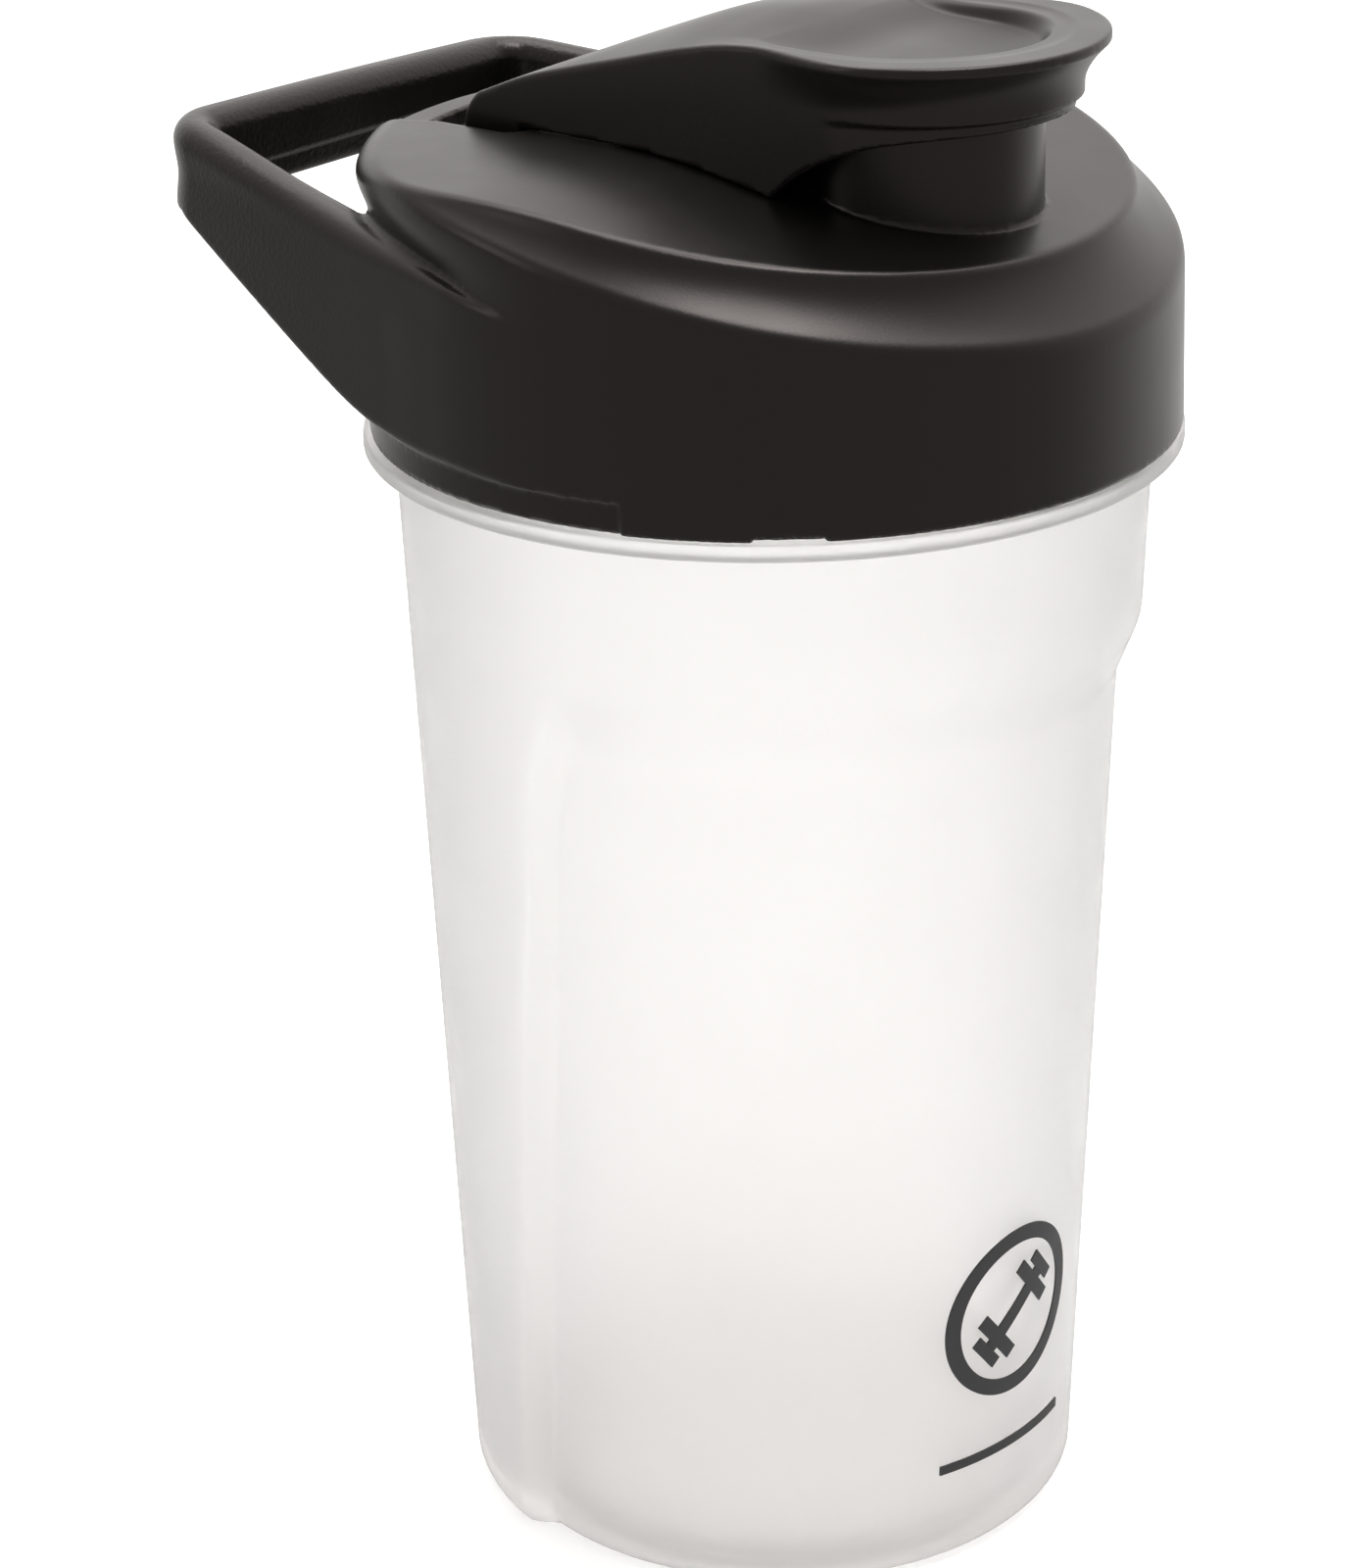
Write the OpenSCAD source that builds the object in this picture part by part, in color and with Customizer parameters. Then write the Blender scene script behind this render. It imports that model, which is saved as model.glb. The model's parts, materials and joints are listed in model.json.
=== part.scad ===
// Protein shaker bottle: a tapered cup with a recessed grip, a screw lid with an
// integral carry loop, a flip cap over the drinking spout, seals and a mixing grid.
// Frame: +Z up from the base, +X towards the spout, -X towards the carry loop.
// The origin is the centre of the base. All sizes are in millimetres.

/* [Cup] */
// Outer radius at the base
base_r = 42.1; // [41:0.1:43]
// Outer radius just below the flange
shoulder_r = 47.8; // [47:0.1:48.5]
// Height of the flange's top face
flange_z = 148.0; // [135:0.1:160]
// Radius of the flange that closes the gap under the lid
flange_r = 51.7; // [51:0.1:52.5]
// Height of the flange
flange_h = 2.1; // [1.5:0.1:3]
// Outer radius of the threaded neck
neck_r = 47.8; // [47.6:0.1:47.9]
// Inner radius of the mouth
mouth_r = 46.0; // [45.8:0.1:46.1]
// Height of the neck above the flange
neck_h = 15.8; // [14:0.1:17]
// Wall thickness
cup_wall = 2.0; // [1.6:0.1:2.2]
// Depth of the grip recess on the spout side
grip_depth = 2.75; // [2:0.05:3.5]
// Height where the grip recess has run out into the full cup
grip_top = 123.3; // [110:0.1:128]

/* [Lid] */
// Outer radius of the skirt at its bottom edge
skirt_r = 51.5; // [51:0.1:52]
// Height of the deck above the base, on the hinge side
deck_z = 184.6; // [183:0.1:187]
// Wall thickness of the lid
lid_wall = 2.4; // [2:0.1:2.6]
// Tilt of the deck towards the spout, in degrees
deck_tilt = 9.65; // [8:0.05:11]
// Tilt of the ridge round the top of the skirt, in degrees
ridge_tilt = 12.4; // [11:0.1:13.5]
// Outer radius of the spout
spout_r = 15.0; // [14:0.1:16]
// Inner radius of the spout
spout_bore_r = 12.5; // [11.5:0.1:13]
// Distance of the spout from the cup's axis
spout_x = 22.5; // [21:0.1:24]
// Height of the spout's rim
spout_z = 192.2; // [191:0.1:193]

/* [Flip cap] */
// Distance of the hinge axis from the cup's axis
hinge_back = 30.5; // [29:0.1:32]
// Height of the hinge axis
hinge_z = 185.0; // [184:0.1:186]
// Radius of the hinge knuckle
knuckle_r = 4.9; // [4.5:0.1:5.1]
// Half width of the cap at the hinge
cap_half_w = 17.0; // [16.5:0.1:17.5]
// Radius of the cap round the spout
nose_r = 19.6; // [19:0.1:20]
// Radius of the flared lip round the nose
lip_r = 22.2; // [21:0.1:23]
// Wall thickness of the cap
cap_wall = 2.0; // [1.6:0.1:2.2]

/* [Carry loop] */
// Distance of the rail's outer face from the cup's axis
rail_x = 72.5; // [70:0.5:78]
// Height of the rail's top
rail_top = 182.5; // [180:0.5:185]
// Height of the rail
rail_h = 11.0; // [9:0.5:13]
// Thickness of the arms and of the rail
loop_t = 6.2; // [5:0.1:7]

/* [Screw thread] */
// Rise of the lid in one turn
thread_lead = 8.0; // [7:0.5:9]
// Height of each thread ridge above its wall
thread_h = 1.0; // [0.8:0.05:1.1]

/* [Hidden] */
$fn = 128;

plastic_clear = [0.93, 0.93, 0.92, 0.6];
plastic_black = [0.10, 0.10, 0.105];
silicone_grey = [0.55, 0.55, 0.56];
ink = [0.22, 0.22, 0.23];

// Cup
floor_t = 2.4;
base_round = 3.0;
foot_r = 34.0;
foot_groove_w = 3.0;
foot_groove_d = 0.8;
flange_low = flange_z - flange_h;
mouth_z = flange_z + neck_h;
grip_shoulder_h = 7.5;
grip_low = grip_top - grip_shoulder_h;
grip_edge_x = -9.7;
grip_edge_lean = 0.1015;
grip_turn = -3.5;
grip_corner_r = 10;
reach = 70;

function mix(a, b, t) = a + (b - a) * t;
wall_growth = (shoulder_r - mouth_r) / cup_wall;
// Radius of the cup's side, less an inset that grows up to the mouth
function side_r(z, inset = 0) = mix(base_r - inset, shoulder_r - inset * wall_growth, z / flange_low);
function grip_edge(z) = grip_edge_x + grip_edge_lean * z;

// Lid
skirt_gap = 0.3;
skirt_z = flange_z + skirt_gap;
skirt_top = 176;
skirt_bore_r = 49.1;
skirt_bore_top = 166;
skirt_draft = 0.5;
ridge_z = 179.4;
ridge_r = 51.9;
ridge_rise = 0.88;
deck_axis_z = 184.2;
deck_roll = 5;
rebate_h = 3.8;
rebate_d = 0.7;
rebate_x = 14.6;
notch_az = -51;
notch_w = 8.5;
notch_h = 0.6;
collar_r = 44.4;
collar_t = 1.7;
collar_low = 153;
gasket_z = 156;
gasket_h = 3.0;
bead_h = 1.0;
trough_x = -24.8;
trough_half_w = 19.8;
trough_r = 46.4;
trough_floor = 179.3;
trough_t = 2.0;
dip_x = -38;
dip_z = 181.8;
ear_y = 10.5;
ear_t = 3.0;
ear_r = 2.8;
ear_foot_back = 1.9;
trunnion_r = 1.5;
trunnion_fit = 0.07;

// Cap
deck_gap = 0.35;
cap_nose_low = 191.0;
cap_rise_x = 14.5;
cap_ceiling = 194.0;
lip_low = 195.4;
lip_top = 199.8;
dish_r = 17.2;
dish_ball_r = 62;
dish_low = 196.2;
plug_r = 8.0;
plug_low = 189.2;
seal_fit = 0.08;

// Thread
thread_fit = 0.3;
thread_crest = 0.9;
thread_root = 1.9;
thread_sink = 0.3;
thread_z = 151.4;
thread_turn = 270;
lug_turn = 150;
thread_step = 7.5;
starts = 2;

// A helical ridge of trapezoid section between two radii, rising with the thread's lead
module helix_ridge(r_a, w_a, r_b, w_b, z0, turn) {
    steps = round(turn / thread_step);
    function ring(i) = let (a = i * turn / steps, z = z0 + thread_lead * a / 360,
                            sec = [[r_a, -w_a / 2], [r_b, -w_b / 2], [r_b, w_b / 2], [r_a, w_a / 2]])
        [for (p = sec) [p[0] * cos(a), p[0] * sin(a), z + p[1]]];
    points = [for (i = [0 : steps]) each ring(i)];
    sides = [for (i = [0 : steps - 1], k = [0 : 3])
        [4 * i + k, 4 * i + (k + 1) % 4, 4 * i + 4 + (k + 1) % 4, 4 * i + 4 + k]];
    last = 4 * steps;
    polyhedron(points, concat(sides, [[0, 3, 2, 1], [last, last + 1, last + 2, last + 3]]),
               convexity = 6);
}

// Extrudes an outline drawn in x and z across the width of the bottle
module across(half_w) {
    rotate([90, 0, 0]) linear_extrude(2 * half_w, center = true) children();
}

module ring(r_out, r_in, z, h) {
    translate([0, 0, z]) difference() {
        cylinder(r = r_out, h = h);
        translate([0, 0, -1]) cylinder(r = r_in, h = h + 2);
    }
}

// ---- Cup ----

// Side wall of the whole cup, less an inset, standing on z0 with a rounded edge
module cup_side(inset, z0, round_r, z1) {
    r_low = side_r(z0 + round_r, inset);
    rotate_extrude() polygon(concat(
        [[0, z0]],
        [for (a = [-90 : 15 : 0]) [r_low + round_r * (cos(a) - 1), z0 + round_r * (1 + sin(a))]],
        [[side_r(z1, inset), z1], [0, z1]]));
}

// The recessed form of the cup, which the shoulder brings back to the full radius
module cup_recessed(inset, z0, round_r, z_low) {
    r_low = side_r(z0 + round_r, inset) - grip_depth;
    z_high = z_low + grip_shoulder_h;
    rotate_extrude() polygon(concat(
        [[0, z0]],
        [for (a = [-90 : 15 : 0]) [r_low + round_r * (cos(a) - 1), z0 + round_r * (1 + sin(a))]],
        [[side_r(z_low, inset) - grip_depth, z_low], [side_r(z_high, inset), z_high], [0, z_high]]));
}

// The part of the cup that the grip recess takes, seen from the side, with a rounded top corner
module grip_zone(shift, z_high) {
    corner_z = z_high - grip_corner_r;
    corner_x = grip_edge(corner_z) - shift + grip_corner_r * sqrt(1 + pow(grip_edge_lean, 2));
    across(reach) polygon(concat(
        [[grip_edge(-5) - shift, -5]],
        [for (a = [180 - atan(grip_edge_lean) : -9 : 90])
            [corner_x + grip_corner_r * cos(a), corner_z + grip_corner_r * sin(a)]],
        [[reach, z_high], [reach, -5]]));
}

module cup_hollow() {
    thin = cup_wall;
    cup_recessed(thin, floor_t, base_round, grip_low + 1);
    difference() {
        cup_side(thin, floor_t, base_round, flange_low);
        rotate([0, 0, grip_turn]) grip_zone(thin, grip_top + 1);
    }
}

module cup() color(plastic_clear) {
    difference() {
        union() {
            cup_recessed(0, 0, base_round, grip_low);
            difference() {
                cup_side(0, 0, base_round, flange_low);
                rotate([0, 0, grip_turn]) grip_zone(0, grip_top);
            }
            translate([0, 0, flange_low]) cylinder(r = flange_r, h = flange_h);
            translate([0, 0, flange_low]) cylinder(r = neck_r, h = mouth_z - flange_low);
            for (i = [0 : starts - 1]) rotate([0, 0, 360 * i / starts])
                helix_ridge(neck_r - thread_sink, thread_root, neck_r + thread_h, thread_crest,
                            thread_z, thread_turn);
        }
        cup_hollow();
        // The mouth is a straight bore that the lid's gasket slides in
        translate([0, 0, flange_low - 0.01]) cylinder(r = mouth_r, h = mouth_z);
        // Groove that leaves a standing ring round the flat base
        ring(foot_r, foot_r - foot_groove_w, -1, 1 + foot_groove_d);
    }
}

// ---- Printed mark: a plain ring, a dumbbell in it and a bar below, wrapped on the grip ----

mark_z = 34.5;
mark_az = -5;
mark_r = 12;
mark_line = 2.2;
mark_bar_drop = 20;
mark_bar_h = 1.3;
ink_t = 0.25;
ink_gap = 0.02;

module mark_outline() {
    difference() {
        circle(r = mark_r);
        circle(r = mark_r - mark_line);
    }
    rotate(40) {
        square([12, 2], center = true);
        for (s = [-1, 1]) {
            translate([s * 4.4, 0]) square([2, 8.4], center = true);
            translate([s * 6.9, 0]) square([1.7, 5.4], center = true);
        }
    }
    translate([0, -mark_bar_drop]) square([2 * mark_r, mark_bar_h], center = true);
}

module printed_mark() color(ink) {
    intersection() {
        rotate([90, 0, 90 + mark_az]) translate([0, mark_z, 0]) linear_extrude(reach) mark_outline();
        difference() {
            cup_recessed(-ink_gap - ink_t, 0, base_round, grip_low);
            cup_recessed(-ink_gap, 0, base_round, grip_low);
        }
    }
}

// ---- Lid ----

// Everything below the sloping deck
module below_deck(inset) {
    translate([0, 0, deck_axis_z - inset / cos(deck_tilt)]) rotate([0, deck_tilt, 0])
        translate([-100, -100, -200]) cube([200, 200, 200]);
}

// The chamfer from the skirt's ridge up to the deck, as a cone on the ridge's tilted plane
module ridge_cone(inset) {
    half = 40;
    slope = atan(ridge_rise);
    r = ridge_r - inset / sin(slope);
    translate([0, 0, ridge_z]) rotate([0, ridge_tilt, 0])
        cylinder(r1 = r + half / ridge_rise, r2 = r - half / ridge_rise, h = 2 * half, center = true);
}

// Radius of the skirt, which narrows upwards
function drafted_r(z) = skirt_r - skirt_draft * (z - skirt_z) / (skirt_top - skirt_z);

// Outer form of the lid above z0, less an inset
module lid_form(inset, z0) {
    r = skirt_r - skirt_draft - inset;
    top = deck_z - inset;
    roll = deck_roll - inset;
    intersection() {
        rotate_extrude() polygon(concat(
            [[0, z0], [drafted_r(z0) - inset, z0], [r, skirt_top]],
            [for (a = [0 : 15 : 90]) [r - roll + roll * cos(a), top - roll + roll * sin(a)]],
            [[0, top]]));
        below_deck(inset);
        ridge_cone(inset);
    }
}

// Plan of the trough that the cap's hinge end turns in, grown to take its walls up to the skirt
module trough_plan(grow) {
    intersection() {
        circle(r = trough_r + 1.5 * grow);
        translate([-60, -trough_half_w - grow])
            square([60 + trough_x + grow, 2 * (trough_half_w + grow)]);
    }
}

module hinge_ears() {
    for (s = [-1, 1]) translate([-hinge_back, s * (ear_y + ear_t / 2), hinge_z]) {
        rotate([90, 0, 0]) cylinder(r = ear_r, h = ear_t, center = true);
        translate([-ear_foot_back, -ear_t / 2, trough_floor - hinge_z - 1])
            cube([ear_foot_back + ear_r, ear_t, hinge_z - trough_floor + 1]);
    }
}

module lid_shell() color(plastic_black) {
    difference() {
        union() {
            difference() {
                union() {
                    lid_form(0, skirt_z);
                    // Spout, down to the underside of the deck
                    translate([spout_x, 0, deck_axis_z - 10])
                        cylinder(r = spout_r, h = spout_z - deck_axis_z + 10);
                }
                difference() {
                    lid_form(lid_wall, skirt_z - 1);
                    // Floor and walls of the hinge trough stay solid
                    translate([0, 0, trough_floor - trough_t])
                        linear_extrude(20) trough_plan(trough_t);
                }
                // Bore of the skirt, round the cup's neck
                translate([0, 0, skirt_z - 1]) cylinder(r = skirt_bore_r, h = skirt_bore_top - skirt_z + 1);
            }
            // Collar that carries the gasket inside the cup's mouth, with a bead each side of it
            intersection() {
                union() {
                    ring(collar_r, collar_r - collar_t, collar_low, 40);
                    ring(collar_r + 1.0, collar_r - 0.5, gasket_z + gasket_h + 0.1, bead_h);
                    ring(collar_r + 0.5, collar_r - 0.5, gasket_z - 0.1 - bead_h, bead_h);
                }
                lid_form(1, collar_low - 2);
            }
            // Inner ridges of the thread
            for (i = [0 : starts - 1]) rotate([0, 0, 360 * i / starts])
                helix_ridge(neck_r + thread_fit, thread_crest, skirt_bore_r + thread_sink, thread_root,
                            thread_z - thread_lead / 2 / starts, lug_turn);
        }
        // Drinking bore, flared at the rim
        translate([spout_x, 0, collar_low]) cylinder(r = spout_bore_r, h = 60);
        translate([spout_x, 0, spout_z - 1.4]) cylinder(r1 = spout_bore_r, r2 = spout_bore_r + 1.0, h = 1.45);
        // Hinge trough, and the dip in the rim behind it
        translate([0, 0, trough_floor]) linear_extrude(20) trough_plan(0);
        translate([-60, -trough_half_w, dip_z]) cube([60 + dip_x, 2 * trough_half_w, 20]);
        // Thin rebate round the back of the skirt's bottom edge
        intersection() {
            ring(reach, skirt_r - rebate_d, skirt_z - 1, rebate_h + 1);
            translate([-2 * reach + rebate_x, -reach, 0]) cube([2 * reach, 2 * reach, 200]);
        }
        // Shallow notch in the bottom edge
        rotate([0, 0, notch_az]) translate([skirt_r - 1.2, -notch_w / 2, skirt_z - 1])
            cube([3, notch_w, notch_h + 1]);
    }
    difference() {
        hinge_ears();
        translate([-hinge_back, 0, hinge_z]) rotate([90, 0, 0])
            cylinder(r = trunnion_r + trunnion_fit, h = 60, center = true);
    }
}

// ---- Carry loop: two arms that leave the skirt on a tangent, and the rail that joins them ----

arm_end_x = 67;
arm_end_y = 36;
loop_corner_r = 8;
web_x = 28;
web_z = skirt_z + rebate_h;
loop_root_x = 16;
arm_root_z = 174.8;
ledge_z = rail_top - 7.7;
ledge_d = 1.2;

// Where an arm's outer face touches the skirt, from the rail's corner
arm_az = atan2(arm_end_y, -arm_end_x) - acos(skirt_r / norm([arm_end_x, arm_end_y]));
arm_slope = (skirt_r * sin(arm_az) - arm_end_y) / (arm_end_x + skirt_r * cos(arm_az));

module loop_plan(inset) {
    function half_w(x) = arm_end_y + arm_slope * (x + arm_end_x);
    offset(r = loop_corner_r - inset, $fn = 48) offset(delta = -loop_corner_r)
        polygon([[0, -half_w(0)], [0, half_w(0)], [-rail_x, half_w(-rail_x)], [-rail_x, -half_w(-rail_x)]]);
}

module carry_loop() color(plastic_black) {
    difference() {
        intersection() {
            difference() {
                linear_extrude(rail_top + 1) loop_plan(0);
                linear_extrude(rail_top + 1) loop_plan(loop_t);
            }
            across(reach) polygon([
                [-loop_root_x, arm_root_z], [-arm_end_x, rail_top], [-rail_x - 1, rail_top],
                [-rail_x - 1, rail_top - rail_h], [-arm_end_x, rail_top - rail_h],
                [-web_x, web_z], [-loop_root_x, web_z]]);
        }
        translate([0, 0, skirt_z]) cylinder(r1 = skirt_r, r2 = skirt_r - skirt_draft, h = skirt_top - skirt_z);
        cylinder(r = skirt_r - skirt_draft, h = 200);
        // Step along the inside of the rail
        translate([-rail_x + loop_t - ledge_d, -arm_end_y, 0]) cube([3, 2 * arm_end_y, ledge_z]);
    }
}

// ---- Gasket on the lid's collar ----

module lid_gasket() color(silicone_grey) {
    r_in = collar_r + 0.05;
    r_out = mouth_r - seal_fit;
    rotate_extrude() polygon([
        [r_in, gasket_z], [r_in + 0.6, gasket_z], [r_out, gasket_z + 1.1], [r_out, gasket_z + 1.9],
        [r_in + 0.6, gasket_z + gasket_h], [r_in, gasket_z + gasket_h]]);
}

// ---- Mixing grid in the collar ----

grid_r = collar_r - collar_t - 0.12;
grid_z = 153.6;
grid_h = 3.2;
grid_rim = 2.2;
grid_pitch = 7.2;
grid_bar = 1.5;

module mixing_grid() color(plastic_clear) {
    ring(grid_r, grid_r - grid_rim, grid_z, grid_h);
    intersection() {
        translate([0, 0, grid_z]) cylinder(r = grid_r - grid_rim / 2, h = grid_h);
        union() for (i = [-5 : 5]) {
            translate([-60, i * grid_pitch - grid_bar / 2, grid_z]) cube([120, grid_bar, 2]);
            translate([i * grid_pitch - grid_bar / 2, -60, grid_z]) cube([grid_bar, 120, 2]);
        }
    }
}

// ---- Flip cap ----

function deck_at(x) = min(deck_z, deck_axis_z - tan(deck_tilt) * x);

// Plan of the cap: a round nose over the spout, narrowing to the hinge
module cap_plan(inset) {
    translate([spout_x, 0]) circle(r = nose_r - inset);
    back = -hinge_back - knuckle_r;
    polygon([[spout_x, -nose_r + inset], [spout_x, nose_r - inset],
             [back, cap_half_w - inset], [back, -cap_half_w + inset]]);
}

// Upper outline of the cap, from the hinge to the nose
cap_crest = [[-31.4, 189.9], [-22, 193.2], [-13, 195.4], [-4, 197.4], [4, 198.8], [10, 199.2],
             [18, 198.9], [26, 198.5], [36, 198.9], [46, 199.8]];

module cap_side(top_drop) {
    polygon(concat(
        [for (p = cap_crest) [p[0], p[1] - top_drop]],
        [[46, cap_nose_low], [30, 190.1], [24, 188.2], [18, 184.6],
         [cap_rise_x, deck_at(cap_rise_x) + deck_gap], [-2.4, deck_z + deck_gap],
         [trough_x, deck_z + deck_gap], [-hinge_back, hinge_z]]));
}

module cap_lip() {
    translate([spout_x, 0, lip_low]) cylinder(r1 = nose_r, r2 = lip_r, h = lip_top - lip_low);
}

module flip_cap() color(plastic_black) {
    difference() {
        union() {
            intersection() {
                linear_extrude(250) cap_plan(0);
                union() {
                    across(reach) cap_side(0);
                    translate([-hinge_back, 0, hinge_z]) rotate([90, 0, 0])
                        cylinder(r = knuckle_r, h = 2 * reach, center = true);
                }
            }
            // Flared lip, on the nose only
            intersection() {
                cap_lip();
                across(reach) polygon([[8, 180], [60, 180], [60, 199.8], [36, 198.9], [26, 198.5], [18, 198.7]]);
            }
        }
        difference() {
            // Hollow inside, which stops short of the thumb dish
            intersection() {
                linear_extrude(cap_ceiling) cap_plan(cap_wall);
                across(reach) polygon(concat(
                    [for (p = cap_crest) [p[0], p[1] - cap_wall]],
                    [[46, 150], [-60, 150], [-60, 189.9 - cap_wall]]));
            }
            // Boss that carries the seal
            translate([spout_x, 0, plug_low]) cylinder(r = plug_r, h = 20);
        }
        // The hinge end is open between the cheeks, so that it clears the ears
        translate([-60, -cap_half_w + cap_wall, 150]) cube([60 - 31.4, 2 * (cap_half_w - cap_wall), 60]);
        // Thumb dish
        intersection() {
            translate([spout_x, 0, dish_low + dish_ball_r]) sphere(r = dish_ball_r, $fn = 200);
            translate([spout_x, 0, 150]) cylinder(r = dish_r, h = 100);
        }
    }
    // Trunnions on the cheeks
    for (s = [-1, 1]) translate([-hinge_back, s * (cap_half_w - cap_wall / 2), hinge_z])
        rotate([s * 90, 0, 0]) cylinder(r = trunnion_r, h = cap_half_w - cap_wall / 2 - ear_y - 0.3);
}

// ---- Silicone plug that closes the spout ----

module spout_seal() color(silicone_grey) {
    r_max = spout_bore_r - seal_fit;
    low = plug_low - 1.8;
    translate([spout_x, 0, 0]) rotate_extrude() polygon([
        [0, low], [r_max - 2.2, low], [r_max - 0.8, plug_low], [r_max, 190.2], [r_max, 190.5],
        [r_max - 1.0, 191.6], [plug_r, 191.6], [plug_r, plug_low], [0, plug_low]]);
}

cup();
printed_mark();
lid_shell();
carry_loop();
lid_gasket();
mixing_grid();
flip_cap();
spout_seal();
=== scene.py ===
import json
import math

import bpy
import numpy as np
from mathutils import Matrix, Vector


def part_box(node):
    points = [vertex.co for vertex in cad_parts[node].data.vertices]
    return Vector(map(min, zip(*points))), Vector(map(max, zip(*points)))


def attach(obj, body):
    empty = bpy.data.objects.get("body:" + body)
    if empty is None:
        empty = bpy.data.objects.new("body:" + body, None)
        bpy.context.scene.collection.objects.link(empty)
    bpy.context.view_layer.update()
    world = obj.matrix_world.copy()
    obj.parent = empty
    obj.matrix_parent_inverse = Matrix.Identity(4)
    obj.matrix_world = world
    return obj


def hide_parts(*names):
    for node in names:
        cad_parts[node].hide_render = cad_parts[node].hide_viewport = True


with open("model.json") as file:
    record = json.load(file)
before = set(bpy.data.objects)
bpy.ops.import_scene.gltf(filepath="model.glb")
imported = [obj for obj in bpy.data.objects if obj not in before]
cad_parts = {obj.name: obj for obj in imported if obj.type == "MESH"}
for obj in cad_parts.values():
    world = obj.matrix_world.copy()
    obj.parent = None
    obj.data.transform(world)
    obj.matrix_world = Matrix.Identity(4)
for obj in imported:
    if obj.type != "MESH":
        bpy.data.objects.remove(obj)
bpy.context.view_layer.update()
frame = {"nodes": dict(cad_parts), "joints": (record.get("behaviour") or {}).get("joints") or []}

# A protein shaker bottle: a translucent cup, a black screw lid with a carry loop, and a flip cap.
# The lid with its loop, the cap and the cup are remade here as smooth mouldings over their CAD nodes.
# Lengths are in millimetres until mesh_piece turns them into metres.

MM = 0.001


def box_mm(node):
    """Lowest and highest corner of a CAD node, in millimetres."""
    low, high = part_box(node)
    return np.array(low) / MM, np.array(high) / MM


CUP_HIGH = box_mm("cup")[1]
LID_LOW, LID_HIGH = box_mm("lid_shell")
LOOP_LOW, LOOP_HIGH = box_mm("carry_loop")
CAP_LOW, CAP_HIGH = box_mm("flip_cap")
SEAL_LOW, SEAL_HIGH = box_mm("spout_seal")
HINGE = next(j for j in frame["joints"] if j["name"] == "cap_flip")["pos_m"]

# Lid
SKIRT_R = LID_HIGH[0]
SKIRT_Z = LID_LOW[2]
SKIRT_TOP_R = SKIRT_R - 0.5
SKIRT_TOP_Z = 176.0
SKIRT_BORE_R = 49.1
SKIRT_BORE_TOP = 166.0
LID_WALL = 2.4
DECK_Z = 184.6
DECK_AXIS_Z = 184.2
DECK_TILT = math.radians(9.65)
RIDGE_TILT = math.radians(12.4)
RIDGE_Z = 179.4
RIDGE_R = 52.0
RIDGE_SLOPE = math.atan(0.88)
COVE = 0.13
WAIST_Z, WAIST_D = 174.5, 1.9
SWELL_Z, SWELL_D = 181.5, 0.3
SPOUT_X = (SEAL_LOW[0] + SEAL_HIGH[0]) / 2
SPOUT_Z = LID_HIGH[2]
SPOUT_R = 15.0
SPOUT_BORE_R = 12.5
REBATE_Z = LOOP_LOW[2]
REBATE_X = 14.6
REBATE_D = 0.7
TROUGH_X = -24.8
TROUGH_HALF_W = 19.8
TROUGH_FLOOR = 179.3
TROUGH_R = 46.4
BACK_RIM_Z = 181.8
COLLAR_R = 44.4
COLLAR_T = 1.7
COLLAR_LOW = 153.0
NOTCH_TURN = -51
NOTCH_HALF_W, NOTCH_H, NOTCH_D = 4.2, 0.6, 1.2
GASKET_LOW, GASKET_TOP = 156.0, 159.0

# Carry loop
RAIL_X = 0.5 - LOOP_LOW[0]
RAIL_TOP = LOOP_HIGH[2]
RAIL_BOW = 0.3
RAIL_WARP = 0.8
RAIL_RAISE = 0.2
ARM_BEND = 5.0
RAIL_H = 11.0
LOOP_T = 6.2
LOOP_CORNER_R = 8.5
LEDGE_DROP, LEDGE_W = 7.6, 1.2
ARM_END = (-67.0, 36.0)
ARM_FADE = (3.2, 172.2)
WEB_X = -28.0
WEB_BEND = 8.0

# Hinge and flip cap
HINGE_X, HINGE_Z = HINGE[0] / MM, HINGE[2] / MM
EAR_R = 2.8
EAR_Y = (10.5, 13.5)
TRUNNION_R = 1.5
TRUNNION_Y = (10.9, 16)
KNUCKLE_R = HINGE_X - CAP_LOW[0]
CAP_HALF_W = 17.0
CAP_BACK_HALF_W = CAP_HALF_W - 0.2
CAP_WALL = 2.0
CAP_CEILING = 195.2
CAP_END_R = 6.0
CAP_END_Z = 183.2
CAP_END_SLOPE = math.radians(22)
CAP_ROOF_END = -32.2
NOSE_R = 19.6
LIP_R = 22.7
LIP_LOW = 193.6
LIP_EDGE = 0.9
PLUG_R = 8.0
PLUG_LOW = 189.2

# Screw thread
THREAD_LEAD = 8.0
THREAD_Z = 151.4
THREAD_H = 1.0
THREAD_FIT = 0.3
THREAD_TURN = 270
LUG_Z = THREAD_Z - THREAD_LEAD / 4
LUG_TURN = 150
NECK_R = 47.8

# Cup
BASE_R = 42.1
SHOULDER_R = 47.8
FLANGE_R = CUP_HIGH[0]
FLANGE_Z = SKIRT_Z - 0.3
FLANGE_LOW = FLANGE_Z - 2.1
MOUTH_Z = CUP_HIGH[2]
MOUTH_R = 46.0
CUP_WALL = 2.0
FLOOR_T = 2.4
GRIP_DEPTH = 2.75
GRIP_TOP = 123.3
GRIP_SHOULDER_H = 7.5
GRIP_STEP_W = 3.0
GRIP_CORNER_R = 16
GRIP_X, GRIP_LEAN = -11.2, 0.1015
GRIP_TURN = math.radians(-3.5)

# ---------------------------------------------------------------- distance fields
# A moulding is a signed distance, negative inside, worked out on arrays of points.


def round_and(a, b, r):
    """Intersection whose edge is rounded off by r."""
    u, v = np.maximum(a + r, 0), np.maximum(b + r, 0)
    return np.minimum(np.maximum(a, b), -r) + np.hypot(u, v)


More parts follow.
